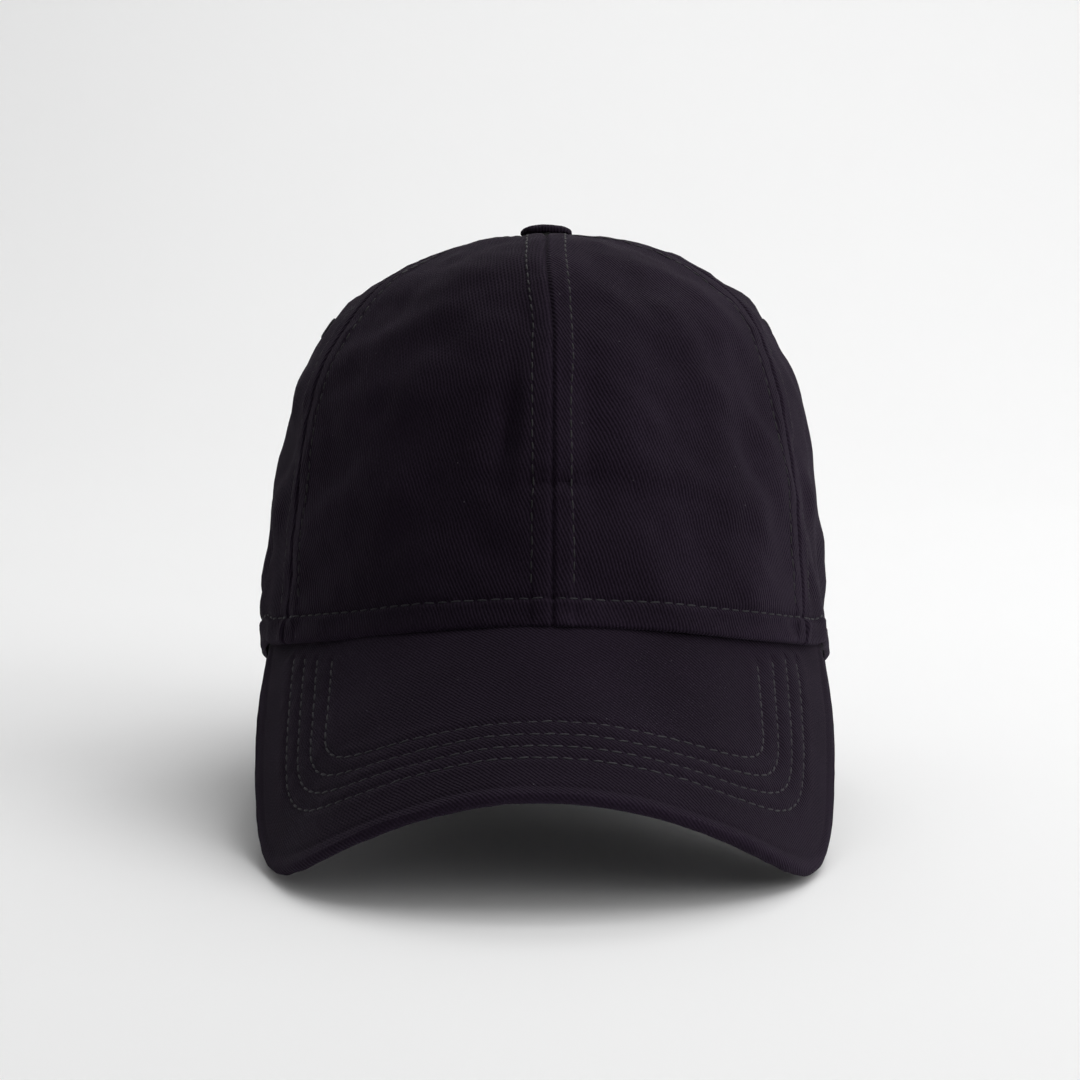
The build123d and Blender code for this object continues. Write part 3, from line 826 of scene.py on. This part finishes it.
def visor_cover(name, top, node_name, angle):
    """Cloth over one face of the board; the top cover also rolls round the outer edge."""
    steps = np.concatenate([np.linspace(0, 0.94, 72), np.linspace(0.95, 1.0, 9)])
    p0, s0 = visor_seam_flat(VISOR_SHARES, 2.6 if top else 2.9)
    p1, s1 = visor_edge_flat(VISOR_SHARES, 1.2)
    p = p0[:, None] + (p1 - p0)[:, None] * steps
    s = s0[:, None] + (s1 - s0)[:, None] * steps
    flat = np.stack([p, s], -1)
    depth = np.zeros_like(p) if top else np.full_like(p, VISOR_THICK)
    q = visor_point(p, s, depth)
    up = unit(visor_point(p, s, depth - 1.0) - q)
    n = up if top else -up
    level = q - n * (VISOR_THICK / 2)
    off, edge = visor_relief(flat, q, 1.0 if top else 0.7)
    off = off * smooth(1 - np.abs(VISOR_SHARES), 0.0, 0.05)[:, None]
    if top:
        half_way = np.full(len(p0), VISOR_THICK / 2)
        middle = visor_point(p1, s1, half_way)
        out_dir = unit(visor_point(*visor_edge_flat(VISOR_SHARES, 0.0), half_way) - middle)[:, None]
        turn = np.radians(np.linspace(15, 200, 14))
        rise, reach = np.cos(turn)[None, :, None] * up[:, -1:], np.sin(turn)[None, :, None] * out_dir
        ring = middle[:, None] + (VISOR_THICK / 2 + 0.25) * (rise + 1.05 * reach)
        ring = ring + 0.09 * ripple(ring, VISOR_FINE)[..., None] * out_dir
        outer = np.concatenate([q + n * off[..., None], ring], 1)
        n = np.concatenate([n, rise + reach], 1)
        # The visor's whole rolled edge is lighter: a painted highlight along the roll, with some wear.
        wear_and_highlight = np.concatenate([0.5 * bell(edge, 1.6, 1.3), np.full((len(p0), turn.size), 0.6)], 1)
        up = np.concatenate([up, np.repeat(up[:, -1:], turn.size, 1)], 1)
        level = np.concatenate([level, np.repeat(middle[:, None], turn.size, 1)], 1)
    else:
        outer = q + n * (off - 0.05 - 0.35 * bell(edge, 0, 1.5))[..., None]
        wear_and_highlight = 0.2 * bell(edge, 0, 3.0)
    outer, n, wear_and_highlight = close_tips(outer, n, wear_and_highlight, up, level)
    inner = outer - n * 0.55
    weave = weave_coords(outer, angle, wear_and_highlight)
    if not top:
        outer, inner, weave = outer[::-1], inner[::-1], weave[::-1]
    obj = shell(name, outer, inner, weave)
    finish_piece(obj, TWILL, "cap", "visor_twill", node_name)
    return outer


VISOR_TOP = visor_cover("visor_top_cloth", True, "visor_top_cover", 45.0)
VISOR_LOW = visor_cover("visor_under_cloth", False, "visor_under_cover", 50.0)


def visor_rows(grid, up):
    """Stitch rows on the top cover (up = 1) or the under cover (up = -1)."""
    tree = surface_tree([grid])
    rows = []
    for inset in ROW_INSETS:
        line = row_line(inset)
        q = visor_point(line[:, 0], line[:, 1], np.full(len(line), 0.0 if up > 0 else VISOR_THICK))
        rows.append(snap(tree, q, np.tile(LIFT * up, (len(q), 1))))
    return rows


stitch_rows("visor_top_stitching", visor_rows(VISOR_TOP, 1), "visor_twill", 9)
stitch_rows("visor_under_stitching", visor_rows(VISOR_LOW, -1), "visor_twill", 10)

# ------------------------------ button
APEX = stand([0, BUTTON_AXIS_Y, CROWN_HEIGHT])
BUTTON_UP = unit(EZ - TOP_TILT * EY)
BUTTON_SIDE = np.cross(BUTTON_UP, EX)


def turned(profile, around):
    """Rings of a profile of (radius, height) pairs about the button axis."""
    ph = np.linspace(0, 2 * np.pi, around, endpoint=False)
    r, z = profile[:, 0], profile[:, 1]
    flat = np.cos(ph)[:, None] * EX + np.sin(ph)[:, None] * BUTTON_SIDE
    return APEX + r[:, None, None] * flat[None] + z[:, None, None] * BUTTON_UP


def button_piece():
    """Cloth pulled over the button's dome and turned in under its edge, with small radial folds."""
    around = 168
    t = np.linspace(0.02, 1, 26) * math.pi / 2
    dome = np.stack([8.15 * np.sin(t) ** 0.9, 1.5 + 2.45 * np.cos(t) ** 0.85], -1)
    roll = np.array([[8.2, 1.2], [8.1, 0.9], [7.8, 0.7], [7.5, 0.75], [7.47, 1.0]])
    t2 = t[::-1]
    core = np.stack([7.47 * np.sin(t2) ** 0.9, 1.45 + 2.0 * np.cos(t2) ** 0.85], -1)
    profile = np.concatenate([dome, roll, core])
    grid = turned(profile, around)
    ph = np.linspace(0, 2 * np.pi, around, endpoint=False)
    rng = np.random.default_rng(15)
    fold = sum(rng.uniform(0.4, 1) * np.cos(k * ph + rng.uniform(0, 6.3)) for k in (7, 11, 16, 23)) * 0.05
    out = smooth(profile[:, 0], 4.5, 8.2)[:, None] * fold[None, :]
    out = out * (np.arange(len(profile)) < len(dome) + 3)[:, None]
    grid = grid + (out + 0.05 * ripple(grid, make_waves(51, 5.0)))[..., None] * BUTTON_UP
    faces = ring_faces(len(profile), around)
    n = len(profile) * around
    faces += [[j, (j + 1) % around, n] for j in range(around)]
    last = (len(profile) - 1) * around
    faces += [[last + (j + 1) % around, last + j, n + 1] for j in range(around)]
    verts = np.concatenate([grid.reshape(-1, 3), [grid[0].mean(0)], [grid[-1].mean(0)]])
    d = verts - APEX
    weave = np.stack([d @ EX, d @ BUTTON_SIDE, np.zeros(len(d))], -1)
    obj = new_object("button_cloth", verts, faces, weave)
    finish_piece(obj, TWILL, "cap", "crown_twill", "button_cover")


button_piece()


# ------------------------------ eyelets
def eyelet_piece(name, psi, turn, side):
    """Worked ring of thread with 36 ridges round the hole."""
    aim = eyelet_centre(psi, turn, side)
    (centre,), (up,) = snap(CROWN_TREE, aim[None], (aim - CROWN_CORE)[None])
    u = unit(np.cross(up, EZ))
    v = np.cross(up, u)
    around, tube = 216, 14
    ph = np.linspace(0, 2 * np.pi, around, endpoint=False)
    th = np.linspace(0, 2 * np.pi, tube, endpoint=False)
    ridge = 0.085 * np.cos(36 * ph)[:, None] * (0.6 + 0.4 * np.cos(th)[None, :] ** 2)
    draws = np.random.default_rng(int(psi) + side).normal(size=24)
    uneven = 0.1 * np.interp(ph, np.linspace(0, 2 * np.pi, 24), draws, period=2 * np.pi)
    radial = 2.85 + (1.02 + ridge + uneven[:, None]) * np.cos(th)[None, :]
    high = 0.02 + (0.5 + ridge) * np.sin(th)[None, :]
    flat = np.cos(ph)[:, None] * u + np.sin(ph)[:, None] * v
    verts = centre + radial[..., None] * flat[:, None] + high[..., None] * up
    i, j = np.meshgrid(np.arange(around), np.arange(tube), indexing="ij")
    a, b = (i + 1) % around * tube, (j + 1) % tube
    faces = np.stack([i * tube + j, a + j, a + b, i * tube + b], -1).reshape(-1, 4).tolist()
    obj = new_object(name + "_ring", verts.reshape(-1, 3), faces)
    finish_piece(obj, THREAD, "cap", "eyelet_thread", name)


for eyelet_name, place in EYELETS.items():
    eyelet_piece(eyelet_name + "_left", *place, 1)
    eyelet_piece(eyelet_name + "_right", *place, -1)


# ------------------------------ sweatband
def inset_rim(angles, inset):
    """Plan of the rim, moved inward."""
    rim = rim_radius(np.abs(angles), inset)
    dx, dy = heading(angles)
    return np.stack([rim * dx, BUTTON_AXIS_Y + rim * dy], -1)


BAND_ROWS = (4.6, 28.2)
BAND_WAVE = make_waves(61, 34.0, stretch=(1, 1, 2.5))


def sweatband():
    """Band inside the rim, flared at its foot, with a lap and a stitch row along each edge."""
    angles = np.linspace(-155, 155, 420)
    foot = [-0.4, 0, 0.5, 1.2, 2.2, 3.4, 4.6, 6, 8]
    heights = np.array(foot + [10.5, 13, 16, 19, 22, 25, 27.5, 29, 29.8, 30.6, 31.4, 31.9])
    flare = 1.7 * (1 - smooth(heights, 0.5, 9.0))
    grids = []
    for face in (0, 1):
        rows = []
        for h, f in zip(heights, flare):
            lap = 0.22 * (1 - smooth(h, 6.5, 7.2)) + 0.16 * smooth(h, 28.4, 29.2)
            groove = 0.18 * bell(h, BAND_ROWS[0], 0.5) + 0.15 * bell(h, BAND_ROWS[1], 0.5)
            round_off = 0.35 * bell(h, -0.4, 0.4) + 0.3 * bell(h, 31.9, 0.35)
            wall = 0.5 + lap - groove - round_off
            inset = 5.5 - f + (wall if face else -wall * 0.9)
            xy = inset_rim(angles, inset)
            base = SIDE_ARCH * np.abs(xy[:, 0] / HALF_WIDTH) ** 6
            rows.append(np.concatenate([xy, (base + h)[:, None]], 1))
        grids.append(np.stack(rows, 1))
    outside, inside = stand(grids[0]), stand(grids[1])
    hub = stand(np.array([0, -10, 20.0]))
    n = hub - inside
    n = unit(n - (n @ EZ)[..., None] * EZ)
    wave = 0.16 * ripple(inside, BAND_WAVE) * smooth(heights, 4, 12)[None]
    outside, inside = outside + n * wave[..., None], inside + n * wave[..., None]
    wear_and_highlight = np.tile(0.4 * bell(heights, 31.5, 1.2), (len(angles), 1))
    obj = shell("sweatband_cloth", inside, outside, weave_coords(inside, 35.0, wear_and_highlight))
    finish_piece(obj, LINING, "cap", "sweatband_twill", "sweatband")
    tree = surface_tree([inside])
    rows = []
    for h in BAND_ROWS:
        line = np.stack([sample(h, heights, column) for column in inside])
        rows.append(snap(tree, line, hub - line))
    stitch_rows("sweatband_stitching", rows, "sweatband_twill", 13, 3.4, (2.6, 0.5, 0.4))


sweatband()


def care_label():
    """Blank label, held at its top edge and lifting at its foot."""
    angles = np.linspace(120.3, 133.7, 24)
    z = np.linspace(5.4, 26.6, 22)
    rows = []
    for face in (0.0, 0.34):
        xy = np.repeat(inset_rim(angles, 6.35 + face)[:, None], len(z), 1)
        rows.append(stand(np.concatenate([xy, np.tile(z[:, None], (len(angles), 1, 1))], -1)))
    n = unit(rows[1] - rows[0])
    lift = 0.35 * smooth(18 - z, 0, 13)[None, :] ** 2 * (0.6 + 0.4 * ripple(rows[0], make_waves(71, 14.0)))
    lift = np.clip(lift, 0, 0.6)[..., None]
    obj = shell("care_label_cloth", rows[1] + n * lift, rows[0] + n * lift, weave_coords(rows[1], 90.0))
    finish_piece(obj, LABEL, "cap", "woven_label", "care_label")


care_label()


# ------------------------------ seam tapes
TAPE_HALF = 6.1


def tape(node_name, seam, sign):
    """Tape under a crown seam, following the cloth's waves; gives its two stitch rows."""
    turn = np.linspace(6.5, 90, 120)
    middle = crown_point(np.full_like(turn, seam), turn)
    stop = column_stop(np.array([max(seam - 2.0, 0.5)]))[0]
    if seam > 179:
        low = (middle[:, 2] / (OPENING_HEIGHT + 6.5)) > 1
        turn = turn[low | (middle[:, 1] < 40)]
    else:
        end = crown_point(np.array([seam]), np.array([stop]))[0, 2]
        turn = turn[middle[:, 2] > end + 2.5]
    across = np.linspace(-TAPE_HALF, TAPE_HALF, 13)
    base = crown_point(np.full_like(turn, seam), turn)
    radial = np.hypot(base[:, 0], base[:, 1] - BUTTON_AXIS_Y)
    psi = seam + np.degrees(np.arcsin(np.clip(across[:, None] / radial[None, :], -0.95, 0.95)))
    tt = np.broadcast_to(turn[None, :], psi.shape)
    p = crown_point(np.abs(psi), tt)
    p[..., 0] *= np.where(psi < 0, -1, 1) * sign
    q = lean(stand(p))
    if sign < 0:
        q = q[::-1]
    n = -normals_of(q)
    d_seam = np.broadcast_to(np.abs(across)[:, None], psi.shape)
    no_hem = np.full_like(d_seam, 30.0)
    wave = relief(q, n, d_seam, no_hem) - seam_profile(d_seam) - hem_profile(no_hem)
    edge = bell(d_seam, TAPE_HALF, 0.6)
    outer = q + n * (wave - 1.95 - 0.18 * edge)[..., None]
    inner = outer - n * 0.5
    weave = weave_coords(inner[::-1], 90.0, 0.3 * edge[::-1])
    obj = shell(node_name + "_cloth", inner[::-1], outer[::-1], weave)
    finish_piece(obj, TAPE, "cap", "seam_tape", node_name)
    return [(inner[k] - n[k] * 0.02, -n[k]) for k in (2, 10)]


TAPE_ROWS = tape("seam_tape_front", 0.0, 1) + tape("seam_tape_back", 180.0, 1)
for word, sign in (("left", 1), ("right", -1)):
    TAPE_ROWS += tape("seam_tape_front_" + word, FRONT_SEAM, sign)
    TAPE_ROWS += tape("seam_tape_back_" + word, REAR_SEAM, sign)
stitch_rows("tape_stitching", TAPE_ROWS, "seam_tape", 17, 3.6, (2.7, 0.45, 0.34))


# ------------------------------ rear opening
def binding():
    """Tape inside the rear opening's edge, found by casting rays at the crown from behind."""
    theta = np.linspace(0.02, math.pi - 0.02, 150)
    out = np.array([0.4, 1.0, 2.0, 3.5, 5.2, 6.8, 8.0, 8.5])
    direction = Vector(-EY)
    grid = np.zeros((len(theta), len(out), 3))
    normal = np.zeros_like(grid)
    for i, th in enumerate(theta):
        for j, o in enumerate(out):
            x, z = (OPENING_HALF_W + o) * math.cos(th), (OPENING_HEIGHT + o) * math.sin(th)
            hit, n, _, _ = CROWN_TREE.ray_cast(Vector(stand([x, 160.0, z])), direction)
            if hit is None:
                hit, n, _, _ = CROWN_TREE.find_nearest(Vector(stand([x, 92.0, z])))
            n = np.array(n)
            grid[i, j] = np.array(hit)
            normal[i, j] = n if n @ EY > 0 else -n
    for _ in range(3):
        normal[1:-1] = 0.5 * normal[1:-1] + 0.25 * (normal[:-2] + normal[2:])
        grid[1:-1, 1:-1] = 0.5 * grid[1:-1, 1:-1] + 0.25 * (grid[:-2, 1:-1] + grid[2:, 1:-1])
    normal = unit(normal)
    outer, inner = grid - normal * 1.65, grid - normal * 2.15
    obj = shell("opening_binding_cloth", inner, outer, weave_coords(inner, 90.0))
    finish_piece(obj, TAPE, "cap", "seam_tape", "opening_binding")


binding()


# ------------------------------ strap and buckle tab
STRAP_HUB_Y = unstand(STRAP_CENTRE)[1]
STRAP_R = 78.6
STRAP_WIDTH = 20.0
TAB_WIDTH = 19.0


def on_arc(arc, radius, z):
    """Row-frame point on the strap's arc; angles grow toward the wearer's right."""
    a = np.radians(arc)
    return stand(np.stack([-radius * np.sin(a), STRAP_HUB_Y + radius * np.cos(a), z + 0 * a], -1))


def strap():
    """Strap with rounded edges and a stitch row near each, on both faces."""
    arcs = np.linspace(-43, 46, 190)
    near = np.array([0, 0.12, 0.4, 0.9, 1.8, 2.5, 3.2])
    far = [16.8, 17.5, 18.2, 19.1, 19.6, 19.88, STRAP_WIDTH]
    across = np.concatenate([near, np.arange(5.0, 16.0, 2.0), far])
    edge = np.minimum(across, STRAP_WIDTH - across)
    wall = 0.6 * np.sqrt(np.clip(1 - ((0.6 - np.minimum(edge, 0.6)) / 0.6) ** 2, 0.06, 1))
    wall = wall - 0.14 * bell(edge, 2.5, 0.5)
    a, z = np.meshgrid(arcs, across + 1.5, indexing="ij")
    wave = 0.05 * np.sin(a * 0.23 + z * 0.1)
    outer = on_arc(a, STRAP_R + wall[None] + wave, z)
    inner = on_arc(a, STRAP_R - wall[None] + wave, z)
    wear_and_highlight = np.tile(0.5 * bell(edge, 0, 0.8), (len(arcs), 1))
    obj = shell("strap_cloth", outer[::-1], inner[::-1], weave_coords(outer[::-1], 42.0, wear_and_highlight[::-1]))
    finish_piece(obj, TWILL, "strap", "strap_twill", "strap")
    rows = []
    for face in (1, -1):
        for z_row in (4.0, 19.0):
            line = on_arc(arcs[2:-2], STRAP_R + 0.48 * face, np.full(len(arcs) - 4, z_row))
            rows.append((line, unit(line - stand([0, STRAP_HUB_Y, z_row])) * face))
    stitch_rows("strap_stitching", rows, "strap_twill", 19, 3.4, (2.6, 0.5, 0.3), body="strap")


strap()


def arc_plan(arc, radius):
    """Plan of a point on the strap's arc, in the crown frame."""
    dx, dy = heading(arc)
    return np.stack([-radius * dx, STRAP_HUB_Y - radius * dy], -1)


def buckle_tab():
    """Tab from the opening's side, round the buckle's bar and back on itself."""
    bar_arc, bar_r, wrap_r = 25.5, 81.2, 1.27
    bar = arc_plan(bar_arc, bar_r)
    radial = (bar - np.array([0, STRAP_HUB_Y])) / bar_r
    along = np.array([-radial[1], radial[0]])
    turn = np.radians(np.linspace(-90, -270, 15))[:, None]
    back = np.linspace(26.6, 29.4, 5)
    path = np.concatenate([
        arc_plan(np.linspace(41, 27.2, 16), 79.9),
        bar + wrap_r * (np.cos(turn) * along + np.sin(turn) * radial),
        arc_plan(back, bar_r + wrap_r - 1.45 * smooth(back, 26.2, 28.8)),
    ])
    tangent = unit(np.gradient(path, axis=0))
    side = np.stack([tangent[:, 1], -tangent[:, 0]], -1)
    across = np.array([0, 0.25, 0.8, 2, 4, 7, 9.5, 12, 15, 17, 18.2, 18.75, TAB_WIDTH])
    edge = np.minimum(across, TAB_WIDTH - across)
    wall = 0.33 * np.sqrt(np.clip(1 - ((0.5 - np.minimum(edge, 0.5)) / 0.5) ** 2, 0.08, 1))
    faces = []
    for s in (1, -1):
        xy = path[:, None] + s * wall[None, :, None] * side[:, None]
        z = np.broadcast_to((across + 2.0)[None, :, None], xy.shape[:2] + (1,))
        faces.append(stand(np.concatenate([xy, z], -1)))
    obj = shell("buckle_tab_cloth", faces[0], faces[1], weave_coords(faces[0], 42.0))
    finish_piece(obj, TWILL, "cap", "strap_twill", "buckle_tab")


buckle_tab()

# ------------------------------ remaining CAD finishes
FINISH = {
    "button_shell": STEEL,
    "button_rivet": STEEL,
    "buckle_frame": BRASS,
    "buckle_lever": BRASS,
    "buckle_pin": BRASS,
    "visor_board": BOARD,
}
for cad_name, cad in frame["nodes"].items():
    cad.data.materials.clear()
    cad.data.materials.append(FINISH.get(cad_name, TAPE))

# ------------------------------ floor, light, camera
def cyclorama():
    """Floor that sweeps up into a wall behind the cap."""
    back, radius, half = 1.7, 0.9, 9.0
    profile = [(-half, 0.0), (back - radius, 0.0)]
    for i in range(1, 17):
        a = math.radians(90 * i / 16)
        profile.append((back - radius + radius * math.sin(a), radius - radius * math.cos(a)))
    profile.append((back, 6.0))
    verts, faces = [], []
    for y, z in profile:
        verts += [(-half, y, z), (half, y, z)]
    for i in range(len(profile) - 1):
        faces.append([2 * i, 2 * i + 1, 2 * i + 3, 2 * i + 2])
    return new_object("studio_sweep", np.array(verts) * 1000, faces)


sweep = cyclorama()
sweep.data.materials.append(FLOOR)


def area_light(name, place, target, size, power):
    data = bpy.data.lights.new(name, "AREA")
    data.shape = "RECTANGLE"
    data.size, data.size_y = size
    data.energy = power
    obj = bpy.data.objects.new(name, data)
    bpy.context.collection.objects.link(obj)
    obj.location = place
    obj.rotation_euler = (Vector(target) - Vector(place)).to_track_quat("-Z", "Y").to_euler()


area_light("key_overhead", (0.75, -0.15, 1.55), (0, 0, 0.05), (1.3, 1.3), 13.5)
area_light("fill_right", (1.6, -0.95, 0.8), (0, 0, 0.08), (1.2, 1.2), 13.0)
area_light("rear", (0.3, 1.15, 1.65), (0.0, 0.0, 0.0), (1.5, 1.0), 10.0)
area_light("backdrop", (0.0, 0.35, 2.3), (0, 1.7, 0.7), (2.4, 0.6), 8.0)


def studio_world():
    """Soft surround, brighter toward the wearer's left and overhead."""
    world = bpy.data.worlds.new("studio_world")
    world.use_nodes = True
    t = world.node_tree
    background = t.nodes["Background"]
    xyz = node(t, "ShaderNodeSeparateXYZ")
    t.links.new(node(t, "ShaderNodeTexCoord").outputs["Generated"], xyz.inputs[0])
    sideways = math_node(t, "MULTIPLY_ADD", xyz.outputs[0], 0.5, 0.5)
    lift = math_node(t, "MULTIPLY_ADD", xyz.outputs[2], 0.3, sideways)
    level = math_node(t, "MULTIPLY_ADD", lift, 0.27, 0.06)
    grey = node(t, "ShaderNodeCombineColor")
    for i in range(3):
        t.links.new(level, grey.inputs[i])
    t.links.new(grey.outputs[0], background.inputs["Color"])
    background.inputs["Strength"].default_value = 1.0
    bpy.context.scene.world = world


studio_world()

camera_data = bpy.data.cameras.new("camera")
camera_data.sensor_width = 36.0
camera_data.lens = 93.3
camera_data.dof.use_dof = False
camera = bpy.data.objects.new("camera", camera_data)
bpy.context.collection.objects.link(camera)
camera.location = (0.0035, ORIGIN[1] / 1000 - 0.874, 0.1904)
camera.rotation_euler = (math.radians(90 - 7.315), 0, math.radians(0.351))
bpy.context.scene.camera = camera
bpy.context.scene.view_settings.view_transform = "Standard"
